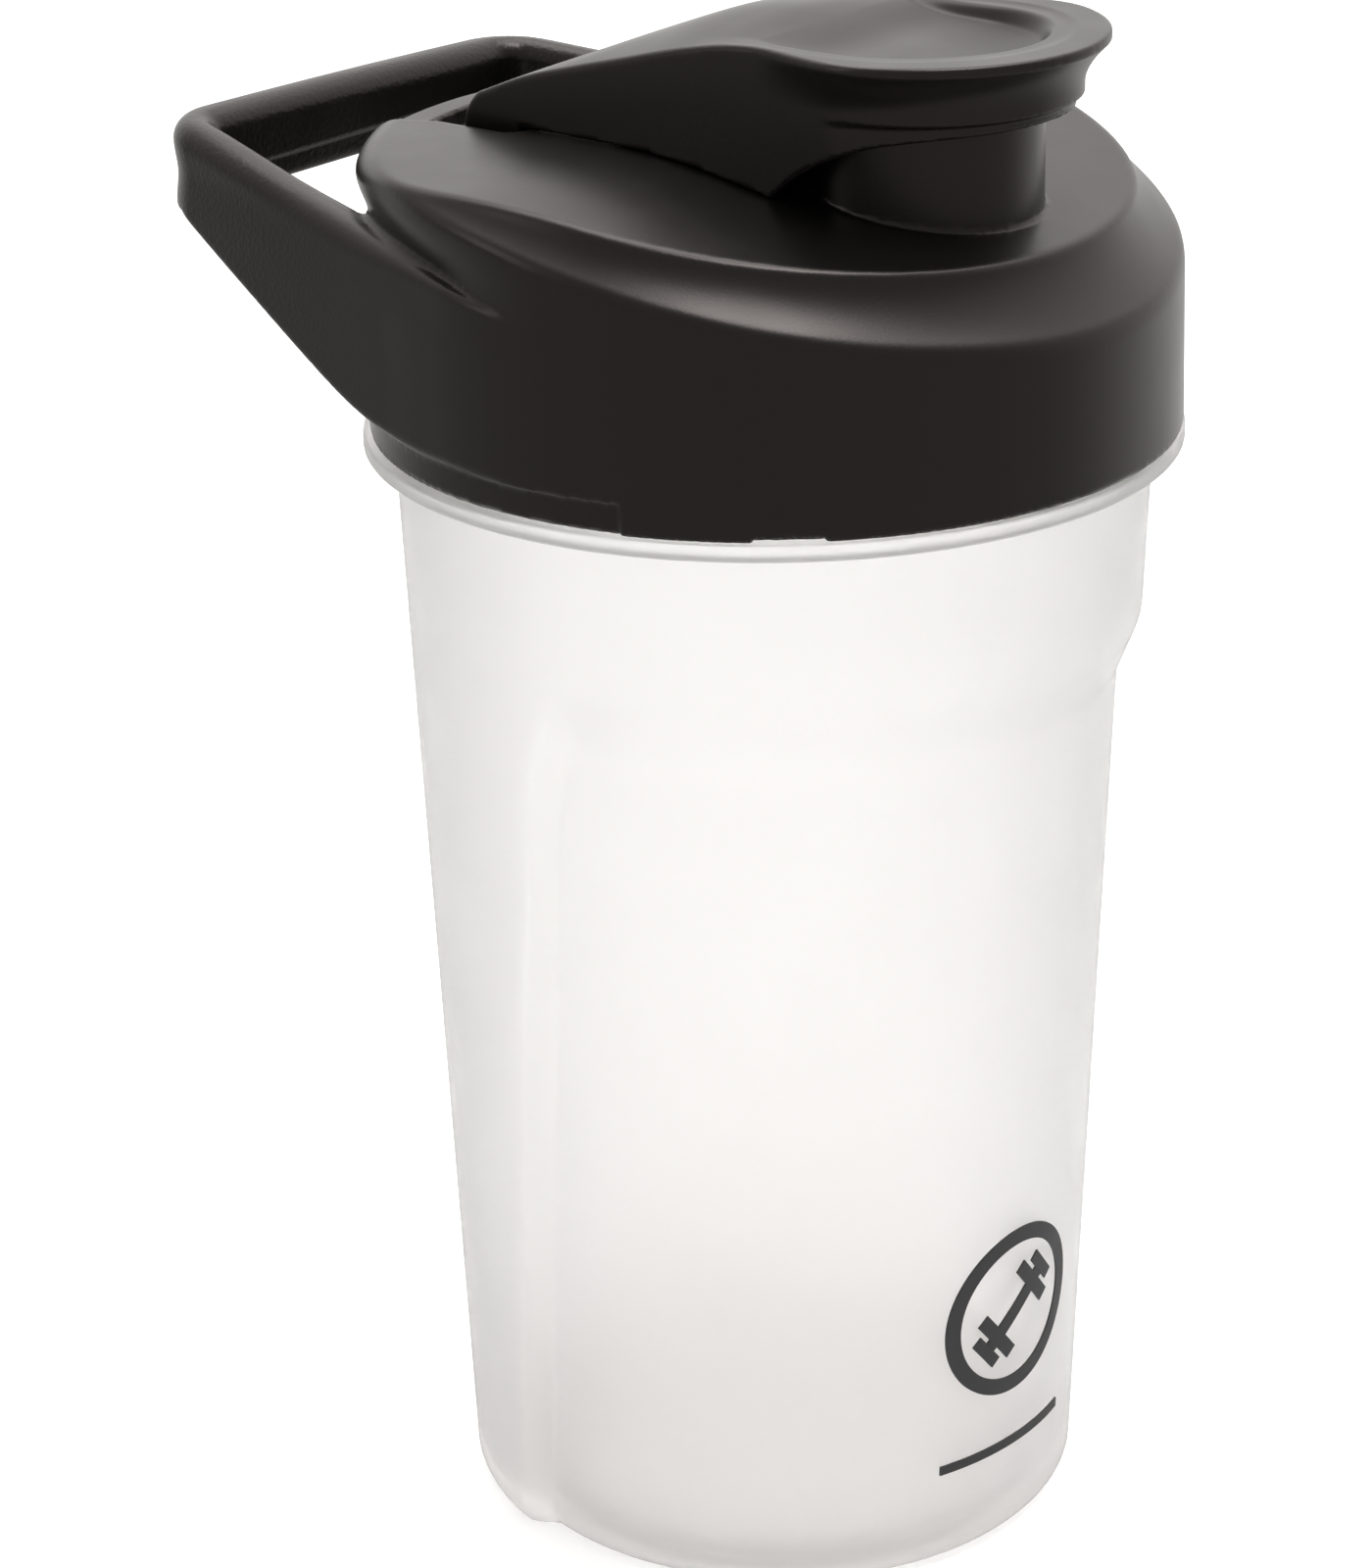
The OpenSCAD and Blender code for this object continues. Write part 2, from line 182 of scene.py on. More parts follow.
def round_or(a, b, r):
    """Union with a fillet of radius r."""
    return -round_and(-a, -b, r)


def cut(a, b, r):
    """a with b taken away, the edge rounded off by r."""
    return round_and(a, -b, r)


def step(x, low, high):
    """0 below low, 1 above high, smooth between."""
    t = np.clip((x - low) / (high - low), 0, 1)
    return t * t * (3 - 2 * t)


def soft_min(a, b, k):
    """The smaller of two heights, blended where they are within k of each other."""
    h = np.clip(0.5 + 0.5 * (b - a) / k, 0, 1)
    return b + (a - b) * h - k * h * (1 - h)


def slab(z, low, high):
    """Distance outside the span from low to high, negative within it."""
    return np.abs(z - (low + high) / 2) - (high - low) / 2


def curve(x, points):
    """Smooth curve through a few points, level beyond its ends."""
    px, py = np.array(points, float).T
    slope = np.gradient(py, px)
    x = np.clip(x, px[0], px[-1])
    i = np.clip(np.searchsorted(px, x) - 1, 0, len(px) - 2)
    w = px[i + 1] - px[i]
    t = (x - px[i]) / w
    a, b = py[i], py[i + 1]
    h = t * t * (3 - 2 * t)
    return a + (b - a) * h + w * (slope[i] * t * (1 - t) ** 2 - slope[i + 1] * t * t * (1 - t))


def surface_net(sdf, low, high, pitch):
    """Points and quads over the zero surface of sdf inside a box."""
    axes = [np.arange(a, b + pitch, pitch) for a, b in zip(low, high)]
    field = sdf(*np.meshgrid(*axes, indexing="ij"))
    inside = field < 0
    shape = np.array(field.shape) - 1
    corners = np.zeros(shape, int)
    for d in np.ndindex(2, 2, 2):
        corners += inside[d[0]:shape[0] + d[0], d[1]:shape[1] + d[1], d[2]:shape[2] + d[2]]
    cells = np.argwhere((corners > 0) & (corners < 8))
    index = np.full(shape, -1)
    index[tuple(cells.T)] = np.arange(len(cells))

    # Each cell's point is the mean of the places where its edges cross the surface
    total = np.zeros((len(cells), 3))
    crossed = np.zeros(len(cells))
    for axis in range(3):
        for d in np.ndindex(2, 2):
            first = np.insert(np.array(d), axis, 0)
            second = first + np.eye(3, dtype=int)[axis]
            fa, fb = field[tuple((cells + first).T)], field[tuple((cells + second).T)]
            hit = (fa < 0) != (fb < 0)
            t = np.where(hit, fa / np.where(hit, fa - fb, 1), 0)
            total += np.where(hit[:, None], cells + first + t[:, None] * (second - first), 0)
            crossed += hit
    verts = total / crossed[:, None] * pitch + np.array([a[0] for a in axes])

    # Each grid edge that crosses the surface has one quad round it
    quads = []
    for axis in range(3):
        a, b = [k for k in range(3) if k != axis]
        lower = np.take(inside, range(shape[axis]), axis)
        upper = np.take(inside, range(1, shape[axis] + 1), axis)
        edges = np.argwhere(lower != upper)
        across = edges[:, [a, b]]
        edges = edges[((across > 0) & (across < shape[[a, b]])).all(1)]
        ring = []
        for da, db in ((0, 0), (1, 0), (1, 1), (0, 1)):
            cell = edges.copy()
            cell[:, a] -= da
            cell[:, b] -= db
            ring.append(index[tuple(cell.T)])
        quad = np.stack(ring, 1)
        flip = inside[tuple(edges.T)] == (axis != 1)
        quad[flip] = quad[flip][:, ::-1]
        quads.append(quad)
    quads = np.concatenate(quads)
    return settle(sdf, relax(verts, quads), pitch), quads


def relax(verts, quads):
    """Moves each point halfway to the mean of its neighbours, which evens out the net."""
    total = np.zeros_like(verts)
    count = np.zeros(len(verts))
    for k in range(4):
        np.add.at(total, quads[:, k], verts[quads[:, (k + 1) % 4]] + verts[quads[:, k - 1]])
        np.add.at(count, quads[:, k], 2)
    return (verts + total / np.maximum(count, 1)[:, None]) / 2


def settle(sdf, verts, pitch):
    """Moves points along the field's slope until they lie on its zero surface."""
    h = 0.03
    start = verts.copy()
    for _ in range(4):
        slope = [sdf(*(verts + h * e).T) - sdf(*(verts - h * e).T) for e in np.eye(3)]
        slope = np.stack(slope, 1) / (2 * h)
        size = np.maximum((slope ** 2).sum(1), 0.25)
        move = -(sdf(*verts.T) / size)[:, None] * slope
        verts = verts + np.clip(move, -0.3 * pitch, 0.3 * pitch)
    lost = np.linalg.norm(verts - start, axis=1) > pitch
    verts[lost] = start[lost]
    return verts


def mesh_piece(name, verts_mm, faces, body, nodes):
    """A smooth piece from points in millimetres, riding on a body in place of CAD nodes."""
    mesh = bpy.data.meshes.new(name)
    mesh.from_pydata((verts_mm * MM).tolist(), [], [tuple(f) for f in faces])
    mesh.validate()
    mesh.polygons.foreach_set("use_smooth", [True] * len(mesh.polygons))
    mesh.update()
    piece = bpy.data.objects.new(name, mesh)
    bpy.context.scene.collection.objects.link(piece)
    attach(piece, body)
    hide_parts(*nodes)
    return piece


# ---------------------------------------------------------------- lid with its carry loop


def deck_height(x):
    """Height of the deck: level at the hinge, falling to the spout."""
    return soft_min(DECK_Z, DECK_AXIS_Z - math.tan(DECK_TILT) * x, 1.5)


def arm_line(x):
    """Height of the arms' top edge, which runs down from the rail and dies out on the skirt."""
    (x1, z1), x0 = ARM_FADE, ARM_END[0]
    along = x - x0
    return RAIL_TOP + (along + np.hypot(along, ARM_BEND)) / 2 * (z1 - RAIL_TOP) / (x1 - x0)


def rail_bow(x, y):
    """How far the rail's top stands above the arms': bowed, and a little warped to one side."""
    across = np.clip(y / ARM_END[1], -1, 1)
    return (RAIL_RAISE + RAIL_BOW * (1 - across ** 2) - RAIL_WARP * across) * step(-x, 40, 66)


def skirt_radius(z):
    """Radius of the skirt, which narrows a little to its top."""
    t = np.clip((z - SKIRT_Z) / (SKIRT_TOP_Z - SKIRT_Z), 0, 1)
    return SKIRT_R + (SKIRT_TOP_R - SKIRT_R) * t


def wall_inset(x, y, z):
    """How far the wall over the arms draws in, under a rim that swells out again."""
    side = step(np.degrees(np.abs(np.arctan2(y, x))), 85, 108)
    waist = WAIST_D * np.exp(-((z - WAIST_Z) / 4.2) ** 2) + 0.6 * (1 - step(z, 160, 175))
    swell = SWELL_D * np.exp(-((z - SWELL_Z) / 2.5) ** 2)
    return side * (waist - swell)


def lid_outer(x, y, z):
    """Skirt, chamfer and deck as one rounded form."""
    wall = np.hypot(x, y) - skirt_radius(z) + wall_inset(x, y, z)
    deck = (z - deck_height(x)) * math.cos(DECK_TILT)
    c, s = math.cos(RIDGE_TILT), math.sin(RIDGE_TILT)
    tx, tz = c * x - s * (z - RIDGE_Z), s * x + c * (z - RIDGE_Z)
    cone = (np.hypot(tx, y) - RIDGE_R) * math.sin(RIDGE_SLOPE) + tz * math.cos(RIDGE_SLOPE)
    height = np.maximum(deck_height(x) - RIDGE_Z + math.tan(RIDGE_TILT) * x, 0.5)
    up = np.clip(tz / height, 0, 1)
    cone = cone + 4 * COVE * height * up * (1 - up)
    deck_edge = 4.6 - 4.0 * step(x, -44, -16)
    return round_and(round_and(wall, cone, 0.9), deck, deck_edge)


def loop_outline(x, y, inset):
    """Plan of the loop: arms that leave the skirt on a tangent, and a rail with round corners."""
    far = math.hypot(*ARM_END)
    az = math.atan2(ARM_END[1], ARM_END[0]) - math.acos(SKIRT_R / far)
    along = -math.sin(az) * x + math.cos(az) * np.abs(y)
    arm = math.cos(az) * x + math.sin(az) * np.abs(y) - SKIRT_R + inset
    arm = np.where(along > 0, arm, np.hypot(x, y) - SKIRT_R + inset)
    rail = -x - RAIL_X + inset
    return round_and(arm, rail, max(LOOP_CORNER_R - inset, 1.8))


def carry_loop(x, y, z):
    """Arms and rail as a band of even thickness, cut to their side view."""
    near_rail = step(-x, 30, 62)
    draft = (SKIRT_R - skirt_radius(z)) * (1 - near_rail)
    waist = 0.45 * near_rail * np.exp(-((z - RAIL_TOP + 6) / 2.6) ** 2)
    outer = loop_outline(x, y, 0) + draft + waist + 0.5 * step(x, -4, 6)
    ledge = LEDGE_W * step(RAIL_TOP - LEDGE_DROP - z, -0.15, 0.15) * step(-x, 62, 63)
    inner = loop_outline(x, y, LOOP_T) - ledge
    back = WEB_X - np.maximum(x, ARM_END[0])
    web_slope = (RAIL_TOP - RAIL_H - REBATE_Z) / (WEB_X - ARM_END[0])
    low = REBATE_Z + (back + np.hypot(back, WEB_BEND)) / 2 * web_slope
    edge = 1.0 + 1.9 * step(-x, 5, 35)
    band = round_and(outer, z - arm_line(x) - rail_bow(x, y), edge)
    band = round_and(band, -inner, 1.2 + 1.5 * near_rail)
    band = round_and(band, (low - z) * 0.87, 0.7)
    return round_and(band, x - ARM_FADE[0] - 6, 0.5)


def hinge_ears(x, y, z):
    """Two small eyes that carry the cap's trunnions."""
    eye = np.hypot(x - HINGE_X, z - HINGE_Z) - EAR_R
    foot = np.maximum(slab(x, HINGE_X - 1.9, HINGE_X + EAR_R), slab(z, TROUGH_FLOOR - 1, HINGE_Z))
    return round_and(np.minimum(eye, foot), slab(np.abs(y), *EAR_Y), 0.4)


def thread_lugs(x, y, z):
    """The two lugs inside the skirt that run under the ridges of the cup's neck."""
    r = np.hypot(x, y)
    low_r = NECK_R + THREAD_FIT
    angle = np.degrees(np.arctan2(y, x))
    flank = 0.45 + 0.5 * np.clip((r - low_r) / THREAD_H, 0, 1)
    best = np.full(x.shape, 50.0)
    for start in (0, 180):
        a = (angle - start) % 360
        d = np.abs(z - LUG_Z - THREAD_LEAD * a / 360) - flank
        ends = np.maximum(-a, a - LUG_TURN) * math.pi / 180 * NECK_R
        best = np.minimum(best, round_and(d, ends, 0.3))
    return np.maximum(best, slab(r, low_r, SKIRT_BORE_R + 0.3))


def lid_inside(x, y, z, outer):
    """The space under the deck, open at the bottom, with the trough's walls left standing."""
    r = np.hypot(x, y)
    space = outer + LID_WALL
    walls = np.maximum(np.maximum(x - TROUGH_X - 2, np.abs(y) - TROUGH_HALF_W - 2), TROUGH_FLOOR - 2 - z)
    space = round_and(space, -walls, 0.5)
    bore = np.maximum(r - SKIRT_BORE_R, z - SKIRT_BORE_TOP)
    space = np.minimum(space, bore)
    collar = np.maximum(slab(r, COLLAR_R - COLLAR_T, COLLAR_R), COLLAR_LOW - z)
    for low, out in ((GASKET_LOW - 1.1, 0.5), (GASKET_TOP + 0.1, 1.0)):
        bead = np.maximum(slab(r, COLLAR_R - 0.5, COLLAR_R + out), slab(z, low, low + 1))
        collar = np.minimum(collar, bead)
    return round_and(space, -collar, 0.25)


def trough(x, y, z):
    """Pocket that the cap's hinge end turns in, flared at the back where the rim dips."""
    half_w = TROUGH_HALF_W + 0.39 * np.maximum(-37 - x, 0)
    pocket = round_and(np.abs(y) - half_w, x - TROUGH_X, 2.5)
    deep = np.maximum(np.maximum(pocket, np.hypot(x, y) - TROUGH_R), TROUGH_FLOOR - z)
    dip = round_and(round_and(pocket, x + 36, 1.0), BACK_RIM_Z - z, 1.0)
    dip = np.maximum(dip, np.hypot(x, y) - SKIRT_R - 2)
    return np.minimum(deep, dip)


def lid_moulding(x, y, z):
    """The lid shell and the carry loop as the one moulding they are."""
    r = np.hypot(x, y)
    outer = lid_outer(x, y, z)
    fillet = 1.7 - 1.3 * step(x, -24, -8)
    body = round_or(outer, carry_loop(x, y, z), fillet)
    spout = np.hypot(x - SPOUT_X, y)
    tube = round_and(spout - SPOUT_R, z - SPOUT_Z, 0.6)
    body = round_or(body, np.maximum(tube, 174 - z), 0.25)
    body = round_and(body, SKIRT_Z - z, 0.35)
    body = cut(body, lid_inside(x, y, z, outer), 0.3)
    flare = np.clip((z - SPOUT_Z + 1.4) / 1.4, 0, 1)
    body = cut(body, spout - SPOUT_BORE_R - flare, 0.4)
    body = cut(body, trough(x, y, z), 0.6)
    body = round_or(body, hinge_ears(x, y, z), 0.4)
    pin = np.maximum(np.hypot(x - HINGE_X, z - HINGE_Z) - TRUNNION_R - 0.1, np.abs(y) - TROUGH_HALF_W)
    body = cut(body, pin, 0.2)
    body = np.minimum(body, thread_lugs(x, y, z))
    rebate = np.maximum(np.maximum(SKIRT_R - REBATE_D - r, z - REBATE_Z), x - REBATE_X)
    body = cut(body, rebate, 0.25)
    notch_y = r * np.radians(np.degrees(np.arctan2(y, x)) - NOTCH_TURN)
    notch = np.maximum(np.abs(notch_y) - NOTCH_HALF_W, z - SKIRT_Z - NOTCH_H)
    notch = np.maximum(notch, SKIRT_R - NOTCH_D - r)
    return cut(body, notch, 0.15)


def make_lid():
    pitch = 0.55
    low = (-RAIL_X - 2, -SKIRT_R - 2, SKIRT_Z - 2)
    high = (SKIRT_R + 2, SKIRT_R + 2, SPOUT_Z + 2)
    verts, quads = surface_net(lid_moulding, low, high, pitch)
    return mesh_piece("lid_moulding", verts, quads.tolist(), "lid",
                      ["lid_shell", "carry_loop"])


# ---------------------------------------------------------------- flip cap

CAP_EDGE = [(-32.1, 188.5), (-27.1, 190.5), (-19.2, 192.6), (-8.9, 195.3), (1.1, 198), (5.5, 198.9),
            (11, 199.4), (18, 199.4), (24, 199.5), (33, 199.7), (42, 199.7), (46, 199.7)]
CAP_CROWN = [(-34, 0.6), (-22, 1.6), (-13, 2.4), (-4, 2.7), (3, 1.7), (9, 0.1), (15, -1.7),
             (22, -2.4), (46, -2.3)]
CAP_BOTTOM = [(14.6, 182.2), (18, 184.9), (22, 187.2), (26, 188.9), (32, 190.2), (40, 190.9), (46, 191.1)]


def cap_plan(x, y):
    """Plan of the cap: a round nose over the spout, narrowing to the hinge."""
    back = HINGE_X - KNUCKLE_R
    half_w = CAP_BACK_HALF_W + (NOSE_R - CAP_BACK_HALF_W) * (x - back) / (SPOUT_X - back)
    return np.where(x < SPOUT_X, np.abs(y) - half_w, np.hypot(x - SPOUT_X, y) - NOSE_R)


def cap_top(x, y):
    """Height of the cap's top: crowned behind, and dished for the thumb inside the rim."""
    edge = curve(x, CAP_EDGE)
    crown = curve(x, CAP_CROWN)
    across = np.hypot(np.maximum(x - SPOUT_X, 0), y)
    share = np.clip(across / 18.5, 0, 1) ** 2
    crowned = edge + crown * (1 - np.where(crown > 0, share, share ** 2))
    rim = step(across, 14.1, 16.1) * step(x, 0, 13)
    return crowned - rim * soft_min(crowned - edge, 0, 0.8)


def cap_lip(x, z):
    """How far the lip flares out from the nose; the top of it is upright."""
    t = np.clip((z - LIP_LOW) / (curve(x, CAP_EDGE) - LIP_EDGE - LIP_LOW), 0, 1)
    return (LIP_R - NOSE_R) * t ** 1.8 * step(x, SPOUT_X - 12, SPOUT_X + 10)


def cap_end(x, z):
    """The hinge end in side view: an arc that a straight line leaves on a tangent."""
    dx, dz = x - CAP_LOW[0] - CAP_END_R, np.maximum(z - CAP_END_Z, 0)
    c, s = math.cos(CAP_END_SLOPE), math.sin(CAP_END_SLOPE)
    return np.where(dx * c + dz * s > 0, dz * c - dx * s, np.hypot(dx, dz)) - CAP_END_R


def cap_hollow(x, y, z):
    """The space inside the cap, round the boss that holds the spout's plug."""
    plan = cap_plan(x, y) + CAP_WALL
    ceiling = np.minimum(cap_top(x, y) - CAP_WALL, CAP_CEILING)
    space = round_and(round_and(plan, z - ceiling, 1.2), cap_end(x, z) + CAP_WALL - 0.2, 0.5)
    boss = np.maximum(np.hypot(x - SPOUT_X, y) - PLUG_R, PLUG_LOW - z)
    return round_and(space, -boss, 0.5)


def flip_cap(x, y, z):
    """The cap's shell with its lip, its cheeks beside the hinge and its trunnions."""
    front = step(x, SPOUT_X - 1, SPOUT_X + 7)
    inner_skirt = front * (1 - step(z, 191.9, 192.5))
    side = cap_plan(x, y) - cap_lip(x, z) + inner_skirt
    bottom = np.where(x < CAP_BOTTOM[0][0], deck_height(x) + 0.12, curve(x, CAP_BOTTOM))
    end = cap_end(x, z)
    top = round_and((z - cap_top(x, y)) * 0.98, end, 0.8)
    shell = round_and(side, top, 0.6 - 0.25 * front)
    knuckle = np.hypot(x - HINGE_X, z - HINGE_Z) - KNUCKLE_R
    shell = round_and(shell, np.minimum((bottom - z) * 0.85, knuckle), 0.15)
    shell = cut(shell, cap_hollow(x, y, z), 0.3)
    between = np.maximum(x - CAP_ROOF_END, np.abs(y) - CAP_HALF_W + CAP_WALL)
    shell = cut(shell, between, 0.3)
    trunnion = np.maximum(np.hypot(x - HINGE_X, z - HINGE_Z) - TRUNNION_R,
                          slab(np.abs(y), *TRUNNION_Y))
    return np.minimum(shell, trunnion)


def make_cap():
    pitch = 0.4
    low = (CAP_LOW[0] - 2, -LIP_R - 2, CAP_LOW[2] - 2)
    high = (SPOUT_X + LIP_R + 2, LIP_R + 2, CAP_HIGH[2] + 3)
    verts, quads = surface_net(flip_cap, low, high, pitch)
    return mesh_piece("cap_moulding", verts, quads.tolist(), "cap", ["flip_cap"])


# ---------------------------------------------------------------- cup


def soft_ramp(t, e=0.1):
    """From 0 to 1 as t does, with soft corners."""
    return 0.5 * (np.sqrt(t * t + e * e) - np.sqrt((t - 1) ** 2 + e * e) + 1)


def grip(angle, r, z, inset):
    """Depth of the grip recess at an angle and height: a step down its sides, a slope at its top."""
    x = r * np.cos(angle - GRIP_TURN)
    u = (x - GRIP_X - GRIP_LEAN * z + inset) * GRIP_SHOULDER_H / GRIP_STEP_W
    v = GRIP_TOP + inset * 0.5 - z
    corner = GRIP_CORNER_R
    inside = corner - np.hypot(np.maximum(corner - u, 0), np.maximum(corner - v, 0))
    inside = np.where((u > corner) & (v > corner), GRIP_SHOULDER_H * 2, inside)
    return GRIP_DEPTH * soft_ramp(inside / GRIP_SHOULDER_H)


def side_radius(angle, z, inset):
    """Radius of the cup's side, less an inset that shrinks a little up to the mouth."""
    growth = (SHOULDER_R - MOUTH_R) / CUP_WALL
    t = z / FLANGE_LOW
    r = (BASE_R - inset) * (1 - t) + (SHOULDER_R - inset * growth) * t
    return r - grip(angle, r, z, inset)


def thread_bump(angle, z):
    """Height of the neck's thread ridges."""
    height = np.zeros(angle.shape)
    for start in (0, math.pi):
        a = (angle - start) % (2 * math.pi)
        d = np.abs(z - THREAD_Z - THREAD_LEAD * a / (2 * math.pi))
        run = step(a, 0, 0.1) * (1 - step(a, math.radians(THREAD_TURN - 5), math.radians(THREAD_TURN)))
        height = np.maximum(height, THREAD_H * run * np.clip((0.95 - d) / 0.5, 0, 1))
    return height


def cup_rings(angle):
    """The cup's section from the middle of its base, out, up, over the mouth and down inside."""
    flat = np.ones(angle.shape)
    rings = [(20 * flat, 0), (30.6 * flat, 0), (31 * flat, 0.3), (31.1 * flat, 0.8), (33.9 * flat, 0.8),
             (34 * flat, 0.3), (34.4 * flat, 0)]
    for a in np.radians(np.arange(0, 91, 10)):
        z = 3 * (1 - math.cos(a))
        rings.append((side_radius(angle, 3, 0) - 3 * (1 - math.sin(a)), z))
    fillet = 0.6
    for z in np.arange(3.8, FLANGE_LOW - fillet, 0.9):
        rings.append((side_radius(angle, z, 0), z))
    for a in np.radians(np.arange(0, 91, 30)):
        r = SHOULDER_R + fillet * (1 - math.cos(a))
        rings.append((r * flat, FLANGE_LOW - fillet * (1 - math.sin(a))))
    edge = 0.5
    for a in np.radians(np.arange(-90, 1, 22.5)):
        rings.append(((FLANGE_R - edge + edge * math.cos(a)) * flat, FLANGE_LOW + edge * (1 + math.sin(a))))
    for a in np.radians(np.arange(0, 91, 22.5)):
        rings.append(((FLANGE_R - edge + edge * math.cos(a)) * flat, FLANGE_Z - edge * (1 - math.sin(a))))
    rings.append(((NECK_R + 0.4) * flat, FLANGE_Z))
    for z in np.arange(FLANGE_Z + 0.4, MOUTH_Z - 0.9, 0.3):
        rings.append((NECK_R * flat + thread_bump(angle, z), z))
    rim = (NECK_R - MOUTH_R) / 2
    for a in np.radians(np.arange(0, 181, 20)):
        r = (NECK_R + MOUTH_R) / 2 + rim * math.cos(a)
        rings.append((r * flat, MOUTH_Z - rim + rim * math.sin(a)))
    for z in np.arange(MOUTH_Z - 2, FLANGE_LOW, -2):
        rings.append((MOUTH_R * flat, z))
    for z in np.arange(FLANGE_LOW - 0.9, FLOOR_T + 3.2, -0.9):
        rings.append((side_radius(angle, z, CUP_WALL), z))
    for a in np.radians(np.arange(90, -1, -10)):
        z = FLOOR_T + 3 * (1 - math.cos(a))
        rings.append((side_radius(angle, FLOOR_T + 3, CUP_WALL) - 3 * (1 - math.sin(a)), z))
    rings.append((20 * flat, FLOOR_T))
    return rings


def make_cup():
    count = 600
    angle = np.arange(count) * 2 * math.pi / count
    rings = cup_rings(angle)
    verts = [(0, 0, 0)]
    for r, z in rings:
        verts += np.stack([r * np.cos(angle), r * np.sin(angle), np.full(count, float(z))], 1).tolist()
    verts.append((0, 0, FLOOR_T))
    faces = []
    for k in range(count):
        n = (k + 1) % count
        faces.append((0, 1 + n, 1 + k))
        last = 1 + (len(rings) - 1) * count
        faces.append((len(verts) - 1, last + k, last + n))
        for i in range(len(rings) - 1):
            a = 1 + i * count
            faces.append((a + k, a + n, a + count + n, a + count + k))
    return mesh_piece("cup_moulding", np.array(verts), faces, "cup", ["cup"])


# ---------------------------------------------------------------- materials

BLACK_COLOR = (0.005, 0.0045, 0.0043)
CUP_WALL_COLOR = (0.96, 0.955, 0.95, 1)
# Painted shade: the darker colour given to the bottom of the cup
CUP_BOTTOM_SHADE_COLOR = (0.8, 0.78, 0.77, 1)
INK_COLOR = (0.045, 0.045, 0.048)
SILICONE_COLOR = (0.42, 0.42, 0.43)
GRID_COLOR = (0.78, 0.78, 0.77)


def new_material(name, color, roughness):
    """A material with a Principled shader; returns its node tree and that shader."""
    mat = bpy.data.materials.new(name)
    mat.use_nodes = True
    tree = mat.node_tree
    shader = tree.nodes["Principled BSDF"]
    shader.inputs["Base Color"].default_value = (*color, 1)
    shader.inputs["Roughness"].default_value = roughness
    return mat, tree, shader


def link(tree, a, out, b, into):
    tree.links.new(a.outputs[out], b.inputs[into])


def noise(tree, scale, detail=3.0, roughness=0.5):
    """Noise on the object's own coordinates, which are the frame's, in metres."""
    where = tree.nodes.new("ShaderNodeTexCoord")
    node = tree.nodes.new("ShaderNodeTexNoise")
    node.inputs["Scale"].default_value = scale
    node.inputs["Detail"].default_value = detail
    node.inputs["Roughness"].default_value = roughness
    link(tree, where, "Object", node, "Vector")
    return node


def ranged(tree, source, out, low, high, to_low, to_high):
    """Maps a value from one range to another."""
    node = tree.nodes.new("ShaderNodeMapRange")
    for key, value in (("From Min", low), ("From Max", high), ("To Min", to_low), ("To Max", to_high)):
        node.inputs[key].default_value = value
    link(tree, source, out, node, "Value")
    return node


def times(tree, a, a_out, b, b_out):
    """One value multiplied by another."""
    node = tree.nodes.new("ShaderNodeMath")
    node.operation = "MULTIPLY"
    tree.links.new(a.outputs[a_out], node.inputs[0])
    tree.links.new(b.outputs[b_out], node.inputs[1])
    return node


def bump(tree, height, out, distance, strength, before=None):
    """A bump from a height, laid over an earlier bump if one is given."""
    node = tree.nodes.new("ShaderNodeBump")
    node.inputs["Distance"].default_value = distance
    node.inputs["Strength"].default_value = strength
    link(tree, height, out, node, "Height")
    if before:
        link(tree, before, "Normal", node, "Normal")
    return node


def black_plastic(name, grained):
    """Satin black polypropylene; the carry loop has a leather-like grain."""
    mat, tree, shader = new_material(name, BLACK_COLOR, 0.3)
    shader.inputs["Specular IOR Level"].default_value = 0.56
    shader.inputs["Specular Tint"].default_value = (1, 0.9, 0.87, 1)
    cloudy = noise(tree, 60, 2)
    link(tree, ranged(tree, cloudy, "Fac", 0.1, 0.9, 0.24, 0.38), "Result", shader, "Roughness")
    fine = bump(tree, noise(tree, 3200, 2), "Fac", 0.00003, 0.25)
    if grained:
        where = tree.nodes.new("ShaderNodeTexCoord")
        split = tree.nodes.new("ShaderNodeSeparateXYZ")
        link(tree, where, "Object", split, "Vector")
        on_loop = ranged(tree, split, "X", -0.02, -0.055, 0, 1)
        grain = tree.nodes.new("ShaderNodeTexVoronoi")
        grain.inputs["Scale"].default_value = 1600
        link(tree, where, "Object", grain, "Vector")
        height = times(tree, grain, "Distance", on_loop, "Result")
        fine = bump(tree, height, "Value", 0.00008, 0.4, fine)
    link(tree, fine, "Normal", shader, "Normal")
    return mat


def clear_plastic():
    """Frosted translucent polypropylene, with painted shade: the colour turns darker over the cup's bottom
    few millimetres.
    """
    mat, tree, shader = new_material("clear_plastic", CUP_WALL_COLOR[:3], 0.5)
    shader.inputs["Transmission Weight"].default_value = 0.8
    shader.inputs["IOR"].default_value = 1.3
    shader.inputs["Specular IOR Level"].default_value = 0.25
    shader.inputs["Alpha"].default_value = 0.92
    where = tree.nodes.new("ShaderNodeTexCoord")
    split = tree.nodes.new("ShaderNodeSeparateXYZ")
    link(tree, where, "Object", split, "Vector")
    # Painted shade: the colour turns to the darker bottom colour below 6 mm, fully so below 3 mm
    bottom_shade = tree.nodes.new("ShaderNodeMix")
    bottom_shade.data_type = "RGBA"
    link(tree, ranged(tree, split, "Z", 0.003, 0.006, 0, 1), "Result", bottom_shade, "Factor")
    bottom_shade.inputs[6].default_value = CUP_BOTTOM_SHADE_COLOR
    bottom_shade.inputs[7].default_value = CUP_WALL_COLOR
    tree.links.new(bottom_shade.outputs[2], shader.inputs["Base Color"])
    link(tree, ranged(tree, noise(tree, 90, 2), "Fac", 0.1, 0.9, 0.42, 0.6), "Result", shader, "Roughness")
    frost = bump(tree, noise(tree, 1500, 3), "Fac", 0.00005, 0.2)
    link(tree, frost, "Normal", shader, "Normal")
    return mat


